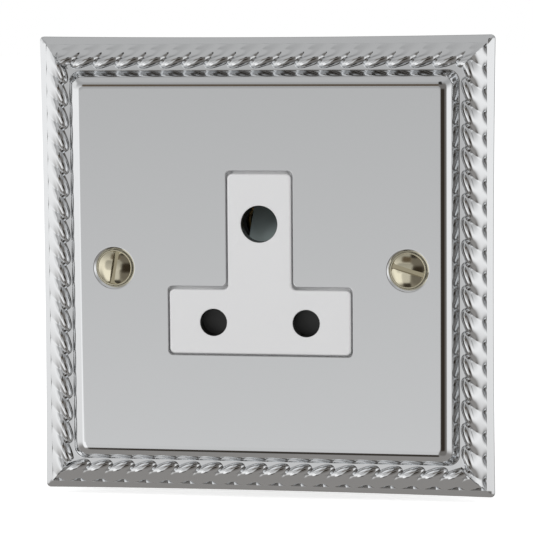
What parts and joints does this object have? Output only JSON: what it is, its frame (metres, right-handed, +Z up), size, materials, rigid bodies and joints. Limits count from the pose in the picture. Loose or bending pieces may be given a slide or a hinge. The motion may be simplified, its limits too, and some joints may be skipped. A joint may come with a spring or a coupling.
{
  "type": "round pin wall socket",
  "caption": "Wall socket for a round pin plug: square polished plate with a rope border, white T-shaped face, sprung shutter, and a contact body behind the wall.",
  "frame": {"origin": "middle of the plate on the wall's surface, midway between the two fixing screws", "axes": "+X to the right along the wall, +Y into the wall, +Z up the wall; the face looks towards -Y"},
  "size_m": [0.094, 0.026, 0.094],
  "materials": {
    "polished_plate": "polished",
    "white_front": "gloss",
    "grey_shutter": "satin",
    "white_inner": "matte",
    "contact_brass": "satin",
    "terminal_brass": "machined",
    "spring_steel": "satin",
    "plated_steel": "satin",
    "warm_nickel": "polished"
  },
  "bodies": {
    "socket": {"face_plate": "polished_plate", "socket_front": "white_front", "shutter_spring": "spring_steel", "shutter_retainer": "white_inner", "line_contact": "contact_brass", "neutral_contact": "contact_brass", "earth_contact": "contact_brass", "pin_contact_clips": "spring_steel", "earth_contact_clip": "spring_steel", "line_terminal": "terminal_brass", "neutral_terminal": "terminal_brass", "earth_terminal": "terminal_brass", "contact_rivets": "contact_brass", "terminal_screws": "terminal_brass", "socket_base": "white_inner", "base_screws": "plated_steel", "plate_studs": "plated_steel", "stud_washers": "plated_steel", "stud_nuts": "plated_steel", "earth_strap": "contact_brass", "fixing_screws": "warm_nickel"},
    "shutter": {"shutter": "grey_shutter"}
  },
  "joints": [
    {"name": "shutter_slide", "type": "slide", "parent": "socket", "child": "shutter", "axis": [0, 0, -1], "range_m": [0, 0.00688], "stiffness_N_per_m": 150, "springref_m": -0.002, "deforming": ["shutter_spring"]}
  ]
}
